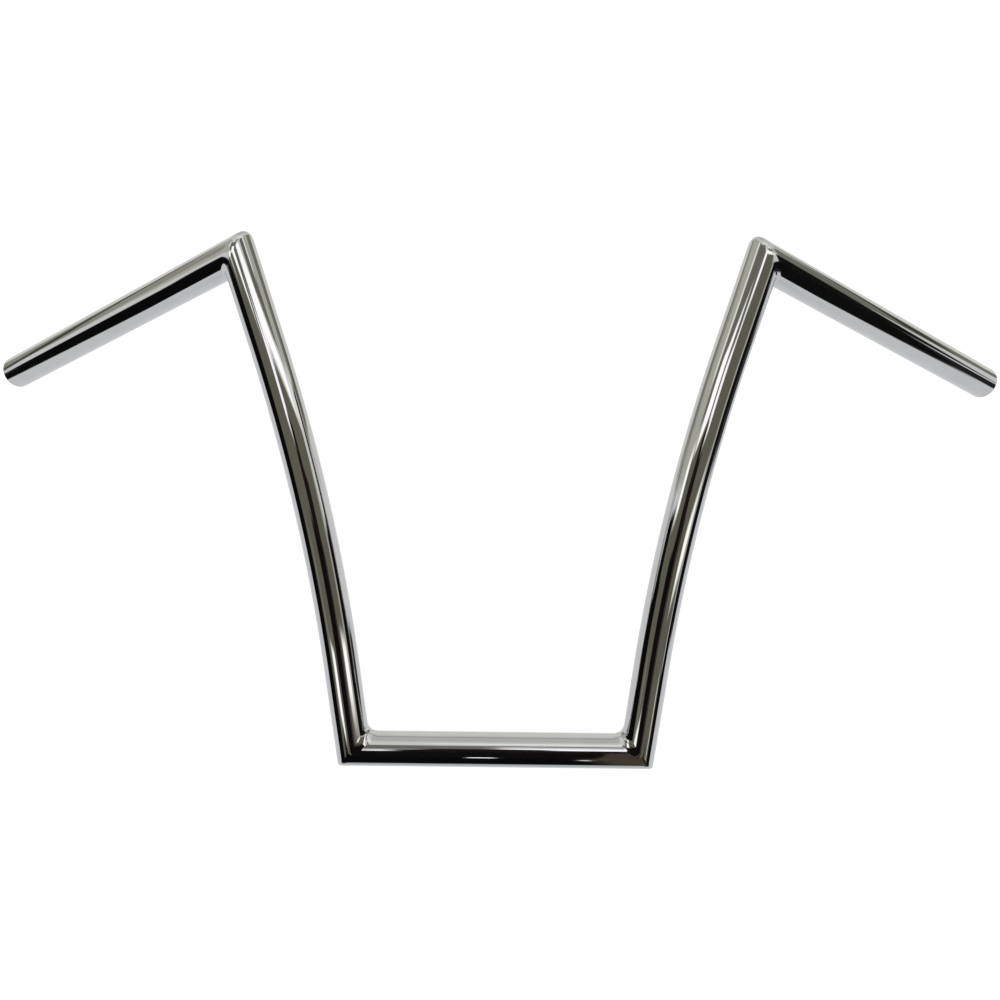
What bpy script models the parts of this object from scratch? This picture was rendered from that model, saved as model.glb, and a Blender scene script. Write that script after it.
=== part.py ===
"""Motorcycle handlebar: a chromed steel Z-bar with square corners.

Five lengths of one round tube are mitred and welded into one rigid bar.  A short clamp tube
runs across the bottom.  A riser leaves each of its ends, bends once on the way up, and
meets a grip tube at the elbow.  The grip tube points outwards, back and down.  Four weld
beads fill the grooves round the four mitres and are ground flush before plating.

Metres.  +X runs along the clamp tube to the rider's left, +Y points back to the rider, and
+Z points up.  The origin is the middle of the clamp tube, on its centreline.
"""

import math

import bmesh
import bpy
from mathutils import Vector

# Tube, one size for the whole bar
TUBE_OD = 0.0254
TUBE_WALL = 0.00305

# Centrelines of the left half; the right half is its mirror image across X = 0.
# The riser's bend lies in the plane of the elbow, so riser and grip tube are flat on a bench.
LOWER_CORNER = Vector((0.1035, 0.0, 0.0))
RISER_BEND = Vector((0.1246, -0.0115, 0.1811))
RISER_BEND_TANGENT = 0.118
ELBOW = Vector((0.1789, 0.0, 0.3520))
GRIP_RUN = Vector((0.2177, 0.1544, -0.0906))

# Weld preparation and beads, with widths measured square to the mitre plane
GROOVE_DEPTH = 0.0020
GROOVE_WIDTH_OUTSIDE = 0.0022
GROOVE_WIDTH_INSIDE = 0.0048
ASSEMBLY_GAP = 0.0003

# Open ends of the grip tubes
END_CHAMFER = 0.0007

# Fineness of the solids
SIDES = 32
BEND_STEPS = 12
BEAD_STEPS = 4

OUTER_RADIUS = TUBE_OD / 2
INNER_RADIUS = OUTER_RADIUS - TUBE_WALL
ROOT_RADIUS = OUTER_RADIUS - GROOVE_DEPTH


def clear_scene():
    for old in list(bpy.data.objects):
        bpy.data.objects.remove(old, do_unlink=True)


def mirrored(point):
    return Vector((-point.x, point.y, point.z))


class Mitre:
    """The joint of two tubes: the first runs into the corner, the second leaves it."""

    def __init__(self, corner, into, away):
        self.corner = corner
        self.along = (into.normalized(), away.normalized())
        self.normal = (self.along[0] + self.along[1]).normalized()
        self.across = self.along[0].cross(self.along[1]).normalized()
        self.inside = (
            self.square_to(self.along[1], self.along[0]),
            self.square_to(-self.along[0], self.along[1]),
        )

    @staticmethod
    def square_to(vector, axis):
        return (vector - axis * vector.dot(axis)).normalized()

    def groove_width(self, which, outward):
        """Half the weld groove's width: widest on the inside of the corner."""
        insideness = (1 + outward.dot(self.inside[which])) / 2
        spread = GROOVE_WIDTH_INSIDE - GROOVE_WIDTH_OUTSIDE
        return GROOVE_WIDTH_OUTSIDE + spread * insideness**2

    def point(self, which, outward, radius, setback):
        """A point on the tube's wall, setback from the mitre plane on that tube's side."""
        axis = self.along[which]
        side = -1 if which == 0 else 1
        on_wall = self.corner + outward * radius
        run = side * setback - (on_wall - self.corner).dot(self.normal)
        return on_wall + axis * (run / axis.dot(self.normal))


def outward_directions(axis, reference):
    """Unit vectors square to the axis, one for each side of the round tube."""
    first = Mitre.square_to(reference, axis)
    second = axis.cross(first)
    steps = [2 * math.pi * i / SIDES for i in range(SIDES)]
    return [first * math.cos(angle) + second * math.sin(angle) for angle in steps]


def ring(centre, outwards, radius):
    return [centre + outward * radius for outward in outwards]


def grooved_end(mitre, which, outwards):
    """The rings of a tube's mitred end: groove lip, groove root and bore edge."""
    half_gap = ASSEMBLY_GAP / 2
    lip = [
        mitre.point(which, outward, OUTER_RADIUS, mitre.groove_width(which, outward))
        for outward in outwards
    ]
    root = [mitre.point(which, outward, ROOT_RADIUS, half_gap) for outward in outwards]
    bore = [mitre.point(which, outward, INNER_RADIUS, half_gap) for outward in outwards]
    return [lip, root, bore]


def open_end(centre, axis, outwards):
    """The rings of a square-cut end with a small chamfer on both edges."""
    inset = centre - axis * END_CHAMFER
    return [
        ring(inset, outwards, OUTER_RADIUS),
        ring(centre, outwards, OUTER_RADIUS - END_CHAMFER),
        ring(centre, outwards, INNER_RADIUS + END_CHAMFER),
        ring(inset, outwards, INNER_RADIUS),
    ]


def chrome(name):
    material = bpy.data.materials.new(name)
    material.use_nodes = True
    shader = material.node_tree.nodes["Principled BSDF"]
    shader.inputs["Base Color"].default_value = (0.72, 0.74, 0.76, 1.0)
    shader.inputs["Metallic"].default_value = 1.0
    shader.inputs["Roughness"].default_value = 0.06
    return material


def closed_body(name, rings):
    """One closed solid from rings that follow each other round its wall, last to first."""
    mesh = bmesh.new()
    loops = [[mesh.verts.new(point) for point in points] for points in rings]
    for here, there in zip(loops, loops[1:] + loops[:1]):
        for i in range(SIDES):
            j = (i + 1) % SIDES
            mesh.faces.new((here[i], here[j], there[j], there[i]))
    bmesh.ops.recalc_face_normals(mesh, faces=mesh.faces)
    data = bpy.data.meshes.new(name)
    mesh.to_mesh(data)
    mesh.free()
    data.shade_smooth()
    data.set_sharp_from_angle(angle=math.radians(30))
    data.materials.append(chrome(name + "_chrome"))
    body = bpy.data.objects.new(name, data)
    bpy.context.scene.collection.objects.link(body)
    return body


def straight_tube(name, start, end):
    """A tube from its start rings to its end rings, each listed from the outer wall in."""
    return closed_body(name, list(reversed(start)) + end)


def clamp_tube(right, left):
    """Both of its mitres run outwards from the clamp tube, so the right one faces -X."""
    outwards = outward_directions(Vector((1, 0, 0)), Vector((0, 1, 0)))
    return straight_tube(
        "clamp_tube", grooved_end(right, 0, outwards), grooved_end(left, 0, outwards)
    )


def riser_stations(start, bend, end):
    """Centre and direction of the riser's rings through its one bend."""
    lower = (bend - start).normalized()
    upper = (end - bend).normalized()
    turn = lower.angle(upper)
    hinge = lower.cross(upper).normalized()
    radius = RISER_BEND_TANGENT / math.tan(turn / 2)
    first = bend - lower * RISER_BEND_TANGENT
    middle = first + hinge.cross(lower) * radius
    stations = []
    for step in range(BEND_STEPS + 1):
        angle = turn * step / BEND_STEPS
        along = lower * math.cos(angle) + hinge.cross(lower) * math.sin(angle)
        stations.append((middle - hinge.cross(along) * radius, along))
    return stations


def riser_tube(name, lower, upper, bend):
    start_outwards = outward_directions(lower.along[1], lower.across)
    end_outwards = outward_directions(upper.along[0], lower.across)
    outer = []
    inner = []
    for centre, along in riser_stations(lower.corner, bend, upper.corner):
        outwards = outward_directions(along, lower.across)
        outer.append(ring(centre, outwards, OUTER_RADIUS))
        inner.append(ring(centre, outwards, INNER_RADIUS))
    start = grooved_end(lower, 1, start_outwards)
    end = grooved_end(upper, 0, end_outwards)
    rings = list(reversed(start)) + outer + end + list(reversed(inner))
    return closed_body(name, rings)


def grip_tube(name, mitre, run):
    outwards = outward_directions(mitre.along[1], mitre.across)
    mouth = open_end(mitre.corner + run, mitre.along[1], outwards)
    return straight_tube(name, grooved_end(mitre, 1, outwards), mouth)


def weld_bead(name, mitre):
    """A bead that fills the groove, with a cap that rounds the corner from tube to tube."""
    flank = math.hypot(GROOVE_DEPTH, GROOVE_WIDTH_INSIDE) / GROOVE_DEPTH
    toe_gap = ASSEMBLY_GAP * flank
    pairs = list(
        zip(*(outward_directions(axis, mitre.across) for axis in mitre.along))
    )
    cap = [[] for _ in range(BEAD_STEPS + 1)]
    root = []
    for pair in pairs:
        widths = [mitre.groove_width(i, pair[i]) - toe_gap for i in (0, 1)]
        toes = [mitre.point(i, pair[i], OUTER_RADIUS, widths[i]) for i in (0, 1)]
        corner = mitre.point(0, pair[0], OUTER_RADIUS, 0)
        for step, points in enumerate(cap):
            t = step / BEAD_STEPS
            blend = toes[0] * (1 - t) ** 2 + corner * (2 * t * (1 - t)) + toes[1] * t**2
            points.append(blend)
        root.append(mitre.point(0, pair[0], ROOT_RADIUS + 2 * ASSEMBLY_GAP, 0))
    return closed_body(name, cap + [root])


def build():
    clear_scene()
    lower_mitres = []
    sides = (("right", mirrored), ("left", Vector.copy))
    for side, place in sides:
        lower_corner = place(LOWER_CORNER)
        bend = place(RISER_BEND)
        elbow = place(ELBOW)
        run = place(GRIP_RUN)
        lower = Mitre(lower_corner, lower_corner, bend - lower_corner)
        upper = Mitre(elbow, elbow - bend, run)
        lower_mitres.append(lower)
        riser_tube(side + "_riser_tube", lower, upper, bend)
        grip_tube(side + "_grip_tube", upper, run)
        weld_bead(side + "_lower_weld", lower)
        weld_bead(side + "_upper_weld", upper)
    clamp_tube(*lower_mitres)


build()
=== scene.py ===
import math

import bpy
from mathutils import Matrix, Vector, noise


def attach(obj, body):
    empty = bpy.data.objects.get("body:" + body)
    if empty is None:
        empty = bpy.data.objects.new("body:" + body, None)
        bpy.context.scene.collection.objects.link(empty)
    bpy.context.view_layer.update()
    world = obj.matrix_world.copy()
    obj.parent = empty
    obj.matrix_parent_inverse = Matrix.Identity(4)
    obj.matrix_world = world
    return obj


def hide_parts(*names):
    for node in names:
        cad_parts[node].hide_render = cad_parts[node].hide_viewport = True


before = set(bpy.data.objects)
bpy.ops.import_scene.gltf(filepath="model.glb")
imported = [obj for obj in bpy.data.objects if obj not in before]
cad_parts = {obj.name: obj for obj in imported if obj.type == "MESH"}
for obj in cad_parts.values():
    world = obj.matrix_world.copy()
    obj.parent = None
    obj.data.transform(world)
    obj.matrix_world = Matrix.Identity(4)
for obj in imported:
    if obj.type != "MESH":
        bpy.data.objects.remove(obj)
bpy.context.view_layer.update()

# The chromed handlebar among the cards of a photo studio.  Nine pieces stand for the nine CAD
# nodes: five lengths of tube and four weld beads, with walls fine enough for a mirror finish.
# +X is the rider's left, +Y points back to the rider and +Z up; the camera looks along +Y.

# The bar's driving dimensions, as the CAD has them
TUBE_OD = 0.0254
TUBE_WALL = 0.00305
LOWER_CORNER = Vector((0.1035, 0.0, 0.0))
RISER_BEND = Vector((0.1246, -0.0115, 0.1811))
RISER_BEND_TANGENT = 0.118
ELBOW = Vector((0.1789, 0.0, 0.3520))
GRIP_RUN = Vector((0.2177, 0.1544, -0.0906))
GROOVE_DEPTH = 0.0020
ASSEMBLY_GAP = 0.0003
END_ROUND = 0.0009

OUTER_RADIUS = TUBE_OD / 2
INNER_RADIUS = OUTER_RADIUS - TUBE_WALL
ROOT_RADIUS = OUTER_RADIUS - GROOVE_DEPTH

# Half widths of the beads, square to the mitre plane: on the outside and the inside of the
# corner, and how much wider the grinding leaves them at its two sides
LOWER_BEAD = (0.0018, 0.0062, 0.0)
UPPER_BEAD = (0.0028, 0.0010, 0.0018)
LUMP_HEIGHT = 0.00005
LUMP_SIZE = 0.009

# Fineness of the meshes; the rings square to a tube begin END_CLEAR away from its corners
SIDES = 128
BEND_STEPS = 72
STRAIGHT_STEPS = 12
END_CLEAR = 0.027
BEAD_STEPS = 20
ROUND_STEPS = 5

# Material slots of every piece, and the map of its wall in metres: round it and along it
CHROME = 0
STEEL = 1
WALL_MAP = "round_and_along"


# ---------------------------------------------------------------- shapes

def mirrored(point):
    return Vector((-point.x, point.y, point.z))


def square_to(vector, axis):
    return (vector - axis * vector.dot(axis)).normalized()


class Mitre:
    """The joint of two tubes: the first runs into the corner, the second leaves it."""

    def __init__(self, corner, into, away, bead):
        self.corner = corner
        self.along = (into.normalized(), away.normalized())
        self.normal = (self.along[0] + self.along[1]).normalized()
        self.across = self.along[0].cross(self.along[1]).normalized()
        self.inside = (
            square_to(self.along[1], self.along[0]),
            square_to(-self.along[0], self.along[1]),
        )
        self.bead = bead

    def width(self, which, outward):
        """Half the bead's width in one direction round the tube."""
        insideness = (1 + outward.dot(self.inside[which])) / 2
        outside, inside, spread = self.bead
        sideness = 4 * insideness * (1 - insideness)
        return outside + (inside - outside) * insideness**2 + spread * sideness

    def point(self, which, outward, radius, setback):
        """A point on the tube's wall, setback from the mitre plane on that tube's side."""
        axis = self.along[which]
        side = -1 if which == 0 else 1
        on_wall = self.corner + outward * radius
        run = side * setback - (on_wall - self.corner).dot(self.normal)
        return on_wall + axis * (run / axis.dot(self.normal))

    def toes(self, which, outwards):
        return [self.point(which, o, OUTER_RADIUS, self.width(which, o)) for o in outwards]

    def groove(self, which, outwards):
        """The root and the bore's edge of a tube's mitred end."""
        half_gap = ASSEMBLY_GAP / 2
        radii = (ROOT_RADIUS, INNER_RADIUS)
        return [[self.point(which, o, radius, half_gap) for o in outwards] for radius in radii]


def outward_directions(axis, reference, phase=0.0):
    first = square_to(reference, axis)
    second = axis.cross(first)
    angles = [2 * math.pi * i / SIDES + phase for i in range(SIDES)]
    return [first * math.cos(angle) + second * math.sin(angle) for angle in angles]


def inward_directions(outwards):
    return [-outward for outward in outwards]


def ring(centre, outwards, radius):
    return [centre + outward * radius for outward in outwards]


class Wall:
    """The closed wall of a solid, grown ring by ring; a span between rings curves or is flat."""

    def __init__(self, points, normals):
        self.rings = [points]
        self.normals = normals
        self.spans = []

    def curve_to(self, points, normals, material=CHROME):
        self.spans.append((self.normals, normals, material))
        self.rings.append(points)
        self.normals = normals

    def flat_to(self, points, material=STEEL):
        self.spans.append((None, None, material))
        self.rings.append(points)

    def close(self, material=STEEL):
        self.spans.append((None, None, material))

    def anticlockwise(self):
        """True if ring order, then span order, turns anticlockwise seen from outside."""
        here, there = self.rings[:2]
        face_normal = (here[1] - here[0]).cross(there[0] - here[0])
        return face_normal.dot(self.spans[0][0][0]) > 0

    def piece(self, name, materials):
        """The wall as an object, with exact normals where it curves."""
        keep_order = self.anticlockwise()
        side_width = 2 * math.pi * OUTER_RADIUS / SIDES
        faces = []
        normals = []
        places = []
        run = 0.0
        for row, (here_normals, there_normals, _) in enumerate(self.spans):
            next_row = (row + 1) % len(self.rings)
            pair = (self.rings[row], self.rings[next_row])
            length = (pair[1][0] - pair[0][0]).length
            for i in range(SIDES):
                corners = [(0, i), (0, i + 1), (1, i + 1), (1, i)]
                if not keep_order:
                    corners.reverse()
                starts = (row * SIDES, next_row * SIDES)
                faces.append([starts[end] + k % SIDES for end, k in corners])
                places.extend((k * side_width, run + end * length) for end, k in corners)
                if here_normals:
                    turned = (here_normals, there_normals)
                    normals.extend(turned[end][k % SIDES] for end, k in corners)
                else:
                    a, b, c, d = (pair[end][k % SIDES] for end, k in corners)
                    normals.extend([(c - a).cross(d - b).normalized()] * len(corners))
            run += length
        mesh = bpy.data.meshes.new(name)
        mesh.from_pydata([point for points in self.rings for point in points], [], faces)
        slots = [material for _, _, material in self.spans for _ in range(SIDES)]
        mesh.polygons.foreach_set("material_index", slots)
        wall_map = mesh.uv_layers.new(name=WALL_MAP)
        wall_map.data.foreach_set("uv", [value for place in places for value in place])
        for material in materials:
            mesh.materials.append(material)
        mesh.shade_smooth()
        mesh.normals_split_custom_set(normals)
        piece = bpy.data.objects.new(name, mesh)
        bpy.context.scene.collection.objects.link(piece)
        return piece


def open_end(wall, centre, axis, outwards):
    """Carries the wall over a square-cut end, rounded at both edges, and into the bore."""
    inset = centre - axis * END_ROUND
    for radius, side in ((OUTER_RADIUS, 1), (INNER_RADIUS, -1)):
        for step in range(ROUND_STEPS + 1):
            part = step / ROUND_STEPS
            turn = math.pi / 2 * (part if side == 1 else 1 - part)
            reach = radius - side * END_ROUND * (1 - math.cos(turn))
            middle = inset + axis * (END_ROUND * math.sin(turn))
            normals = [o * (side * math.cos(turn)) + axis * math.sin(turn) for o in outwards]
            wall.curve_to(ring(middle, outwards, reach), normals)


def mitred_end(wall, mitre, outwards):
    """Carries the wall to its lip at the bead, down the weld groove and into the bore."""
    wall.curve_to(mitre.toes(0, outwards), outwards)
    root, bore = mitre.groove(0, outwards)
    wall.flat_to(root)
    wall.flat_to(bore)
    wall.normals = inward_directions(outwards)


def tube_wall(start, start_outwards, stations, finish_end):
    """A tube that begins at a mitre: out along its outside and back through its bore."""
    wall = Wall(start.toes(1, start_outwards), start_outwards)
    for centre, outwards in stations:
        wall.curve_to(ring(centre, outwards, OUTER_RADIUS), outwards)
    finish_end(wall)
    for centre, outwards in reversed(stations):
        bore = ring(centre, outwards, INNER_RADIUS)
        wall.curve_to(bore, inward_directions(outwards), STEEL)
    root, bore = start.groove(1, start_outwards)
    wall.curve_to(bore, inward_directions(start_outwards), STEEL)
    wall.flat_to(root)
    wall.close()
    return wall


def straight_stations(start, end, steps, reference):
    outwards = outward_directions((end - start).normalized(), reference)
    return [(start.lerp(end, step / steps), outwards) for step in range(steps + 1)]


def clamp_tube(right, left, materials):
    """Its mitres are those of the risers, taken from left to right along +X."""
    along = Vector((1, 0, 0))
    back_along = Mitre(right.corner, right.along[1] * -1, along, right.bead)
    stations = straight_stations(
        right.corner + along * END_CLEAR, left.corner - along * END_CLEAR,
        STRAIGHT_STEPS, left.across,
    )
    outwards = stations[0][1]
    wall = tube_wall(back_along, outwards, stations, lambda w: mitred_end(w, left, outwards))
    return wall.piece("chromed_clamp_tube", materials)


def bend_stations(start, bend, end, across):
    """Rings through the riser's one bend, a round arc that touches both straight runs."""
    lower = (bend - start).normalized()
    upper = (end - bend).normalized()
    turn = lower.angle(upper)
    hinge = lower.cross(upper).normalized()
    radius = RISER_BEND_TANGENT / math.tan(turn / 2)
    middle = bend - lower * RISER_BEND_TANGENT + hinge.cross(lower) * radius
    stations = []
    for step in range(BEND_STEPS + 1):
        angle = turn * step / BEND_STEPS
        along = lower * math.cos(angle) + hinge.cross(lower) * math.sin(angle)
        centre = middle - hinge.cross(along) * radius
        stations.append((centre, outward_directions(along, across)))
    return stations


def riser_tube(side, lower, upper, bend, materials):
    """The rings keep the elbow's phase; the lowest one turns a little to meet its bead's."""
    first_run = lower.along[1]
    last_run = upper.along[0]
    side_angle = 2 * math.pi / SIDES
    lead = square_to(upper.across, first_run)
    offset = math.atan2(first_run.cross(lead).dot(lower.across), lead.dot(lower.across))
    phase = offset - round(offset / side_angle) * side_angle
    start_outwards = outward_directions(first_run, upper.across, phase)
    arc = bend_stations(lower.corner, bend, upper.corner, upper.across)
    below = straight_stations(
        lower.corner + first_run * END_CLEAR, arc[0][0], STRAIGHT_STEPS // 2, upper.across
    )
    above = straight_stations(
        arc[-1][0], upper.corner - last_run * END_CLEAR, STRAIGHT_STEPS // 2, upper.across
    )
    stations = below[:-1] + arc + above[1:]
    end_outwards = above[-1][1]
    wall = tube_wall(
        lower, start_outwards, stations, lambda w: mitred_end(w, upper, end_outwards)
    )
    return wall.piece(side + "_chromed_riser", materials)


def grip_tube(side, mitre, run, materials):
    along = mitre.along[1]
    mouth = mitre.corner + run
    stations = straight_stations(
        mitre.corner + along * END_CLEAR, mouth - along * END_ROUND,
        STRAIGHT_STEPS, mitre.across,
    )
    outwards = stations[0][1]
    wall = tube_wall(mitre, outwards, stations, lambda w: open_end(w, mouth, along, outwards))
    return wall.piece(side + "_chromed_grip_tube", materials)


def lump(point, part):
    """How proud the ground and polished bead stands, none where it meets the tubes."""
    swell = noise.noise(point / LUMP_SIZE)
    return LUMP_HEIGHT * swell * (4 * part * (1 - part)) ** 2


def surface_normals(rings, outwards):
    """Normals of a net of rings, from its neighbouring points; the end rings follow the tubes."""
    normals = [outwards[0]]
    for before, here, after in zip(rings, rings[1:], rings[2:]):
        row = []
        for i in range(SIDES):
            around = here[(i + 1) % SIDES] - here[i - 1]
            normal = around.cross(after[i] - before[i]).normalized()
            row.append(normal if normal.dot(outwards[0][i] + outwards[1][i]) > 0 else -normal)
        normals.append(row)
    return normals + [outwards[1]]


def weld_bead(name, mitre, materials):
    """A bead in the weld groove, blended from tube to tube and ground flush with both."""
    outwards = [outward_directions(axis, mitre.across) for axis in mitre.along]
    toes = [mitre.toes(which, outwards[which]) for which in (0, 1)]
    sharp = [mitre.point(0, o, OUTER_RADIUS, 0) for o in outwards[0]]
    cap = []
    for step in range(BEAD_STEPS + 1):
        t = step / BEAD_STEPS
        points = []
        for i in range(SIDES):
            blend = toes[0][i] * (1 - t) ** 2 + sharp[i] * (2 * t * (1 - t)) + toes[1][i] * t**2
            proud = (outwards[0][i] + outwards[1][i]).normalized()
            points.append(blend + proud * lump(blend, t))
        cap.append(points)
    cap_normals = surface_normals(cap, outwards)
    wall = Wall(cap[0], cap_normals[0])
    for points, normals in zip(cap[1:], cap_normals[1:]):
        wall.curve_to(points, normals)
    wall.flat_to([mitre.point(0, o, ROOT_RADIUS + 2 * ASSEMBLY_GAP, 0) for o in outwards[0]])
    wall.close()
    return wall.piece(name, materials)


# ---------------------------------------------------------------- materials

def new_material(name):
    material = bpy.data.materials.new(name)
    material.use_nodes = True
    return material, material.node_tree, material.node_tree.nodes["Principled BSDF"]


def wall_coordinates(tree, around_scale, along_scale):
    """The wall map, stretched so that a noise on it runs round the tube or along it."""
    wall_map = tree.nodes.new("ShaderNodeUVMap")
    wall_map.uv_map = WALL_MAP
    mapping = tree.nodes.new("ShaderNodeMapping")
    mapping.inputs["Scale"].default_value = (around_scale, along_scale, 1.0)
    tree.links.new(wall_map.outputs["UV"], mapping.inputs["Vector"])
    return mapping.outputs["Vector"]


def noise_texture(tree, vector, scale, detail):
    texture = tree.nodes.new("ShaderNodeTexNoise")
    texture.inputs["Scale"].default_value = scale
    texture.inputs["Detail"].default_value = detail
    tree.links.new(vector, texture.inputs["Vector"])
    return texture.outputs["Fac"]


def mapped(tree, value, low, high, from_low=0.3, from_high=0.7):
    spread = tree.nodes.new("ShaderNodeMapRange")
    spread.inputs["From Min"].default_value = from_low
    spread.inputs["From Max"].default_value = from_high
    spread.inputs["To Min"].default_value = low
    spread.inputs["To Max"].default_value = high
    tree.links.new(value, spread.inputs["Value"])
    return spread.outputs["Result"]


def bump(tree, height, distance, normal=None):
    node = tree.nodes.new("ShaderNodeBump")
    node.inputs["Strength"].default_value = 1.0
    node.inputs["Distance"].default_value = distance
    tree.links.new(height, node.inputs["Height"])
    if normal:
        tree.links.new(normal, node.inputs["Normal"])
    return node.outputs["Normal"]


def two_tones(tree, value, first, second):
    mix = tree.nodes.new("ShaderNodeMix")
    mix.data_type = "RGBA"
    mix.inputs["A"].default_value = (*first, 1.0)
    mix.inputs["B"].default_value = (*second, 1.0)
    tree.links.new(value, mix.inputs["Factor"])
    return mix.outputs["Result"]


def chrome_plate():
    """Bright chrome: a mirror with the faint waves and polishing lines of ground tube."""
    material, tree, shader = new_material("chrome_plate")
    place = tree.nodes.new("ShaderNodeTexCoord").outputs["Object"]
    smudges = noise_texture(tree, place, 55.0, 4.0)
    tone = two_tones(
        tree, mapped(tree, smudges, 0.0, 1.0), (0.585, 0.585, 0.58), (0.62, 0.62, 0.615)
    )
    tree.links.new(tone, shader.inputs["Base Color"])
    tree.links.new(mapped(tree, smudges, 0.030, 0.055), shader.inputs["Roughness"])
    waves = bump(tree, noise_texture(tree, place, 42.0, 1.0), 0.000020)
    lines = noise_texture(tree, wall_coordinates(tree, 400.0, 9000.0), 1.0, 2.0)
    tree.links.new(bump(tree, lines, 0.0000004, waves), shader.inputs["Normal"])
    shader.inputs["Metallic"].default_value = 1.0
    return material


def bare_steel():
    """The unplated bore: drawn steel, dull grey with length-wise lines and a little rust."""
    material, tree, shader = new_material("bare_steel")
    place = tree.nodes.new("ShaderNodeTexCoord").outputs["Object"]
    blotches = noise_texture(tree, place, 120.0, 5.0)
    tone = two_tones(
        tree, mapped(tree, blotches, 0.0, 1.0, 0.45, 0.75), (0.16, 0.155, 0.15), (0.13, 0.085, 0.06)
    )
    tree.links.new(tone, shader.inputs["Base Color"])
    tree.links.new(mapped(tree, blotches, 0.38, 0.60), shader.inputs["Roughness"])
    lines = noise_texture(tree, wall_coordinates(tree, 2500.0, 60.0), 1.0, 3.0)
    tree.links.new(bump(tree, lines, 0.00004), shader.inputs["Normal"])
    shader.inputs["Metallic"].default_value = 0.85
    return material


# ---------------------------------------------------------------- the object

def ride_for(piece, node):
    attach(piece, "root")
    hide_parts(node)


def handlebar():
    materials = [chrome_plate(), bare_steel()]
    lower_mitres = []
    for side, place in (("right", mirrored), ("left", Vector.copy)):
        corner = place(LOWER_CORNER)
        bend = place(RISER_BEND)
        elbow = place(ELBOW)
        run = place(GRIP_RUN)
        lower = Mitre(corner, corner, bend - corner, LOWER_BEAD)
        upper = Mitre(elbow, elbow - bend, run, UPPER_BEAD)
        lower_mitres.append(lower)
        ride_for(riser_tube(side, lower, upper, bend, materials), side + "_riser_tube")
        ride_for(grip_tube(side, upper, run, materials), side + "_grip_tube")
        for place_name, mitre in (("lower", lower), ("upper", upper)):
            node = f"{side}_{place_name}_weld"
            ride_for(weld_bead(f"{side}_{place_name}_polished_bead", mitre, materials), node)
    ride_for(clamp_tube(*lower_mitres, materials), "clamp_tube")


# ---------------------------------------------------------------- the studio

# How much light the chrome gives back, and the height in the bar that the screens' angles
# are seen from
CHROME_MIRROR = 0.6
EYE_HEIGHT = 0.2

# The cards' shared shades, as 8-bit screen colours seen in the chrome
WALL = (88, 87, 75)
BLACK_LEFT = (9, 9, 10)
BLACK_RIGHT = (13, 13, 13)

FLOOR_HALF_SIZE = 18.0
FLOOR_HEIGHT = -1.3
WORLD_STRENGTH = 1.12


def radiance(shade):
    """The light that reads as this 8-bit screen colour when chrome mirrors it square on."""
    parts = [level / 255 for level in shade]
    linear = [p / 12.92 if p <= 0.04045 else ((p + 0.055) / 1.055) ** 2.4 for p in parts]
    return [value / CHROME_MIRROR for value in linear]


def math_node(tree, operation, first, second=None):
    node = tree.nodes.new("ShaderNodeMath")
    node.operation = operation
    tree.links.new(first, node.inputs[0])
    if isinstance(second, float):
        node.inputs[1].default_value = second
    elif second:
        tree.links.new(second, node.inputs[1])
    return node.outputs[0]


def edge_fade(tree, coordinate, half, soft):
    """1 inside the card, falling smoothly to 0 over its last stretch."""
    fade = tree.nodes.new("ShaderNodeMapRange")
    fade.interpolation_type = "SMOOTHSTEP"
    fade.inputs["From Min"].default_value = half - soft
    fade.inputs["From Max"].default_value = half
    fade.inputs["To Min"].default_value = 1.0
    fade.inputs["To Max"].default_value = 0.0
    tree.links.new(math_node(tree, "ABSOLUTE", coordinate), fade.inputs["Value"])
    return fade.outputs["Result"]


def card_material(name, half_size, softs, shade, cover):
    """Plain light that fades out towards the edges of the card."""
    material = bpy.data.materials.new(name)
    material.use_nodes = True
    material.cycles.emission_sampling = "NONE"
    tree = material.node_tree
    tree.nodes.clear()
    split = tree.nodes.new("ShaderNodeSeparateXYZ")
    tree.links.new(tree.nodes.new("ShaderNodeTexCoord").outputs["Object"], split.inputs[0])
    across = edge_fade(tree, split.outputs["X"], half_size[0], softs[0])
    upwards = edge_fade(tree, split.outputs["Y"], half_size[1], softs[1])
    inside = math_node(tree, "MULTIPLY", across, upwards)
    emission = tree.nodes.new("ShaderNodeEmission")
    emission.inputs["Color"].default_value = (*radiance(shade), 1.0)
    mix = tree.nodes.new("ShaderNodeMixShader")
    tree.links.new(math_node(tree, "MULTIPLY", inside, cover), mix.inputs["Fac"])
    tree.links.new(tree.nodes.new("ShaderNodeBsdfTransparent").outputs[0], mix.inputs[1])
    tree.links.new(emission.outputs[0], mix.inputs[2])
    output = tree.nodes.new("ShaderNodeOutputMaterial")
    tree.links.new(mix.outputs[0], output.inputs["Surface"])
    return material


def rectangle(name, half_size, material):
    corners = [(-1, -1), (1, -1), (1, 1), (-1, 1)]
    mesh = bpy.data.meshes.new(name)
    points = [(x * half_size[0], y * half_size[1], 0) for x, y in corners]
    mesh.from_pydata(points, [], [(0, 1, 2, 3)])
    mesh.materials.append(material)
    sheet_object = bpy.data.objects.new(name, mesh)
    bpy.context.scene.collection.objects.link(sheet_object)
    return sheet_object


def card(name, middle, axes, half_size, softs, shade, cover, tilt):
    """A soft-edged card that only reflections see, tilted in its own plane by some degrees."""
    material = card_material(name, half_size, softs, shade, cover)
    stand = rectangle(name, half_size, material)
    turn = Matrix((*axes, axes[0].cross(axes[1]))).transposed().to_4x4()
    spin = Matrix.Rotation(math.radians(tilt), 4, "Z")
    stand.matrix_world = Matrix.Translation(middle) @ turn @ spin
    stand.visible_camera = False
    stand.visible_diffuse = False
    stand.visible_shadow = False
    stand.visible_transmission = False


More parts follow.
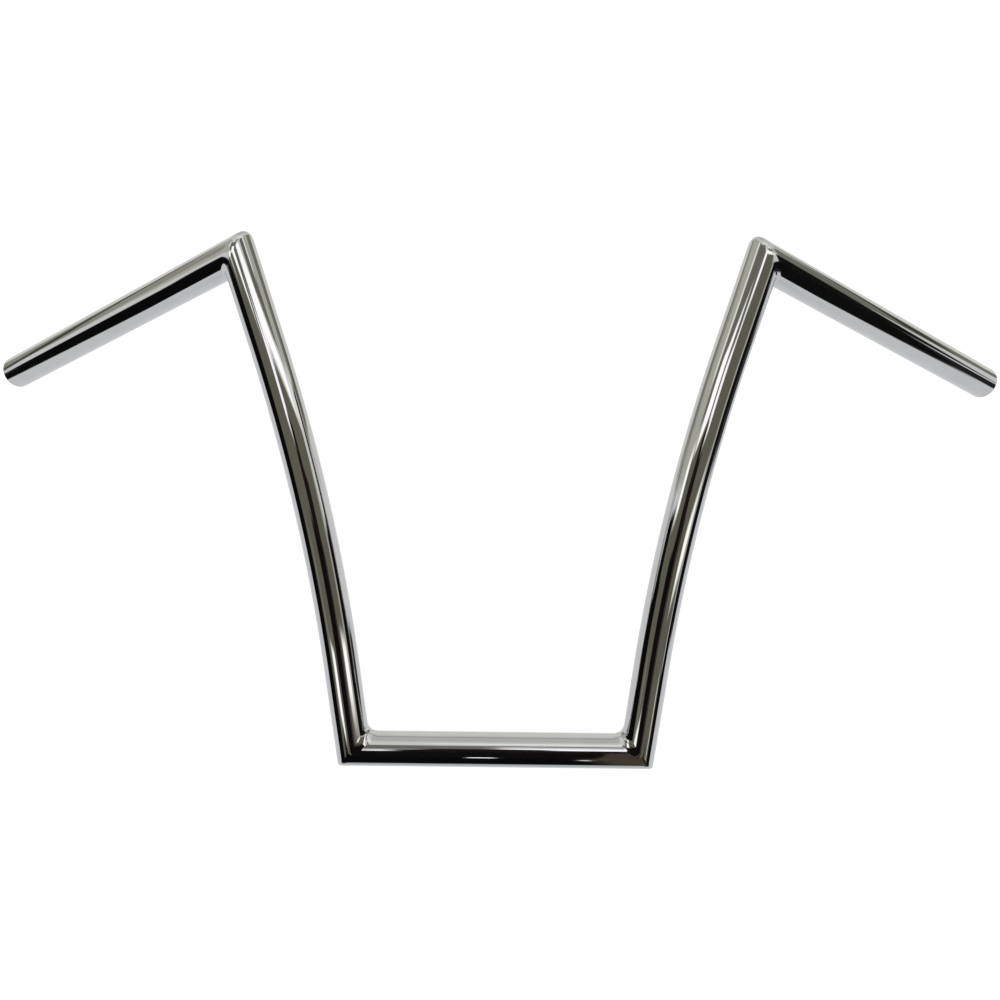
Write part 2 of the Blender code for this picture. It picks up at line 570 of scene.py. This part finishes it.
def screen(name, away, bearings, rises, softs, shade, cover=1.0, tilt=0.0):
    """An upright card, placed by the angles at which the middle of the bar sees its edges.

    Bearing 0 is straight ahead of the bar, towards the camera.  Rise 0 is level.
    """
    bearing = math.radians(sum(bearings) / 2)
    outwards = Vector((math.sin(bearing), -math.cos(bearing), 0))
    sideways = Vector((math.cos(bearing), math.sin(bearing), 0))
    foot, top = [EYE_HEIGHT + away * math.tan(math.radians(rise)) for rise in rises]
    middle = outwards * away + Vector((0, 0, (foot + top) / 2))
    half_width = away * math.tan(math.radians(bearings[1] - bearings[0]) / 2)
    half_size = (half_width, (top - foot) / 2)
    soft_sizes = [away * math.tan(math.radians(soft)) for soft in softs]
    card(name, middle, (sideways, Vector((0, 0, 1))), half_size, soft_sizes, shade, cover, tilt)


def sheet(name, height, across, deep, soft, shade, cover=1.0):
    """A level card, above or below the bar."""
    middle = Vector((sum(across) / 2, sum(deep) / 2, height))
    half_size = ((across[1] - across[0]) / 2, (deep[1] - deep[0]) / 2)
    axes = (Vector((1, 0, 0)), Vector((0, 1, 0)))
    card(name, middle, axes, half_size, (soft, soft), shade, cover, 0.0)


def wall_cards():
    """The room: its walls, a pillar, and the darker and lighter parts high up."""
    screen("room_wall", 6.0, (-34, 22), (-46, 15), (2, 2), WALL)
    screen("room_wall_left", 6.02, (-62, -29), (-46, 8.5), (3, 2), WALL)
    screen("room_wall_right", 6.01, (14, 64), (-46, 15), (3, 2), WALL)
    screen("upper_left_wall", 6.2, (-128, -38), (5.5, 42), (5, 3), (160, 159, 150))
    screen("upper_left_corner", 6.1, (-54, -8), (12, 32), (3, 2), (95, 95, 88))
    screen("upper_left_light", 6.0, (-67, -53), (18, 34), (4, 3), (215, 214, 206))
    screen("upper_left_back", 6.15, (-125, -95), (6, 28), (3, 3), (132, 131, 122))
    screen("upper_right_wall", 6.1, (92, 124), (11, 31), (4, 2), (105, 104, 94))
    screen("upper_right_line", 5.9, (33, 68), (22.8, 32), (4, 1.5), (92, 91, 84))
    screen("upper_right_light", 5.95, (62, 96), (20.5, 34), (3, 2), (160, 159, 151))
    screen("right_pillar", 5.8, (56, 68), (-24, 9), (4, 3), (152, 151, 143))
    screen("left_post", 5.9, (-49, -41), (-32, -15), (2.5, 5), (122, 121, 112))


def window_cards():
    """Windows, and the lights low in the room."""
    screen("far_window", 5.7, (-61, -42), (-1, 11.5), (5, 4), (252, 252, 248))
    screen("left_window", 5.7, (-39.5, -13), (6, 20), (4, 2), (252, 252, 252))
    screen("middle_window", 5.7, (-9, 6.5), (-1, 13), (3, 3), (247, 244, 253))
    screen("right_window", 5.7, (1, 60), (14.8, 23.5), (4, 2), (252, 252, 250))
    screen("right_window_end", 5.75, (58, 84), (12.5, 21), (5, 3), (215, 214, 208))
    screen("low_light_right", 5.6, (32, 60), (-23, -13), (6, 4), (250, 249, 244), 1.0, 6)
    screen("low_line_right", 1.5, (50.5, 57.5), (-36, -28.5), (2.5, 3), (200, 198, 190))
    screen("low_light_left", 1.75, (-43, -25), (-33.3, -26.0), (2.5, 1.5), (250, 250, 248))
    screen("line_window", 3.0, (-0.5, 12), (10.5, 26), (2, 4), (247, 245, 253))
    screen("line_shadow", 3.1, (-14, 1), (13.5, 34), (2, 2), (97, 98, 92))
    screen("line_beam", 3.05, (-14, 14), (32.5, 40.5), (2, 3), (96, 96, 94))


def black_cards():
    """Black flags and thin dark strips beside the bar."""
    screen("black_left", 1.25, (-86, -57), (-45, 5), (3, 3), BLACK_LEFT)
    screen("black_left_far", 5.0, (-93, -56), (-51, -5), (2, 2), BLACK_LEFT)
    screen("black_right", 1.25, (69, 86), (-45, 4), (3, 4), BLACK_RIGHT)
    screen("black_right_high", 3.0, (77.5, 97), (-4, 21), (3, 3), (15, 15, 14))
    screen("black_right_far", 5.0, (65, 90), (-51, 2), (3, 2), BLACK_RIGHT)
    screen("black_right_back", 5.0, (86, 98.5), (-26, -6), (2, 2), (30, 30, 30))
    screen("black_right_low", 1.2, (61, 80), (-48, -29), (3, 2), BLACK_RIGHT)
    screen("black_right_behind", 5.0, (96, 117), (-18, -8), (3, 3), (45, 45, 45))
    screen("dark_strip_left_low", 4.0, (-100.5, -95.5), (-16, 15), (1.5, 2), (45, 45, 42), 0.9, 27)
    screen("dark_strip_left_high", 4.0, (-118.5, -113.5), (5, 34), (1.5, 2), (45, 45, 42), 0.9, 52)
    screen("dark_strip_right", 4.0, (116.5, 121.5), (6, 36), (1.5, 2), (40, 40, 37), 0.9, -60)


def photographer_cards():
    """A dark figure and a stand in front of the bar."""
    screen("photographer", 0.77, (-12, 15), (-46, 2), (3, 3), (24, 18, 15))
    screen("photographer_head", 0.775, (-9, 7), (-6, 8), (3, 2), (24, 19, 17))
    screen("photographer_side", 0.765, (6, 17), (-46, -10), (4, 4), (62, 55, 50))
    screen("tripod", 0.75, (-21, 20), (-50, -9), (5, 4), (14, 12, 13))


def level_cards():
    """The floor with its two glints, and the ceiling."""
    sheet("dark_floor", -0.50, (-0.72, 0.62), (-0.82, 0.02), 0.05, (9, 9, 12))
    sheet("brown_floor", -0.495, (0.10, 0.45), (-0.80, -0.04), 0.05, (64, 58, 49))
    sheet("floor_glint", -0.49, (-0.045, 0.0), (-0.76, -0.62), 0.008, (250, 250, 250))
    sheet("small_glint", -0.49, (0.10, 0.12), (-0.50, -0.40), 0.006, (210, 210, 210))
    sheet("ceiling_light", 2.0, (-0.3, 3.0), (-1.85, -1.15), 0.25, (220, 220, 219))
    sheet("ceiling_line", 2.0, (-3.0, 3.0), (0.20, 0.60), 0.15, (145, 145, 143))


def studio_cards():
    wall_cards()
    window_cards()
    black_cards()
    photographer_cards()
    level_cards()


def floor():
    """A plain white floor, well below the bar and outside its reflections."""
    material, _, shader = new_material("floor_paint")
    shader.inputs["Base Color"].default_value = (0.92, 0.92, 0.92, 1.0)
    shader.inputs["Roughness"].default_value = 0.9
    plane = rectangle("floor", (FLOOR_HALF_SIZE, FLOOR_HALF_SIZE), material)
    plane.location.z = FLOOR_HEIGHT
    plane.visible_glossy = False


# The tent's shade at some elevations, in degrees
TENT_LEVELS = (
    (-90, (158, 160, 161)),
    (-60, (182, 184, 186)),
    (-20, (185, 187, 189)),
    (0, (189, 190, 190)),
    (10, (190, 190, 188)),
    (25, (186, 186, 184)),
    (50, (192, 192, 190)),
    (60, (190, 190, 188)),
    (66, (182, 182, 180)),
    (75, (166, 166, 164)),
    (90, (168, 168, 166)),
)


def studio_light():
    """White all round for the floor, and for the mirror a tent that greys towards the top."""
    world = bpy.data.worlds.new("studio")
    bpy.context.scene.world = world
    world.use_nodes = True
    tree = world.node_tree
    tree.nodes.clear()
    white = tree.nodes.new("ShaderNodeBackground")
    white.inputs["Color"].default_value = (1.0, 1.0, 1.0, 1.0)
    white.inputs["Strength"].default_value = WORLD_STRENGTH
    tent = tree.nodes.new("ShaderNodeBackground")
    split = tree.nodes.new("ShaderNodeSeparateXYZ")
    tree.links.new(tree.nodes.new("ShaderNodeTexCoord").outputs["Generated"], split.inputs[0])
    height = mapped(tree, split.outputs["Z"], 0.0, 1.0, -1.0, 1.0)
    ramp = tree.nodes.new("ShaderNodeValToRGB")
    while len(ramp.color_ramp.elements) < len(TENT_LEVELS):
        ramp.color_ramp.elements.new(0.5)
    for element, (elevation, shade) in zip(ramp.color_ramp.elements, TENT_LEVELS):
        element.position = (1 + math.sin(math.radians(elevation))) / 2
        element.color = (*radiance(shade), 1.0)
    tree.links.new(height, ramp.inputs["Fac"])
    tree.links.new(ramp.outputs["Color"], tent.inputs["Color"])
    rays = tree.nodes.new("ShaderNodeLightPath")
    mix = tree.nodes.new("ShaderNodeMixShader")
    tree.links.new(rays.outputs["Is Glossy Ray"], mix.inputs["Fac"])
    tree.links.new(white.outputs[0], mix.inputs[1])
    tree.links.new(tent.outputs[0], mix.inputs[2])
    output = tree.nodes.new("ShaderNodeOutputWorld")
    tree.links.new(mix.outputs[0], output.inputs["Surface"])


# The camera: where it stands, how far it looks down, and its small turns
CAMERA_PLACE = Vector((0.00215, -0.83494, 0.31584))
CAMERA_DOWN = math.radians(8.975)
CAMERA_TURN = math.radians(0.058)
CAMERA_ROLL = math.radians(0.625)
LENS = 43.2


def camera():
    data = bpy.data.cameras.new("camera")
    data.lens = LENS
    data.sensor_width = 36.0
    data.dof.use_dof = False
    stand = bpy.data.objects.new("camera", data)
    turn = Matrix.Rotation(CAMERA_TURN, 4, "Z")
    look = turn @ Matrix.Rotation(math.pi / 2 - CAMERA_DOWN, 4, "X")
    roll = Matrix.Rotation(CAMERA_ROLL, 4, "Z")
    stand.matrix_world = Matrix.Translation(CAMERA_PLACE) @ look @ roll
    bpy.context.scene.collection.objects.link(stand)
    bpy.context.scene.camera = stand
    bpy.context.scene.view_settings.view_transform = "Standard"


camera()
handlebar()
studio_cards()
floor()
studio_light()

bpy.context.view_layer.update()
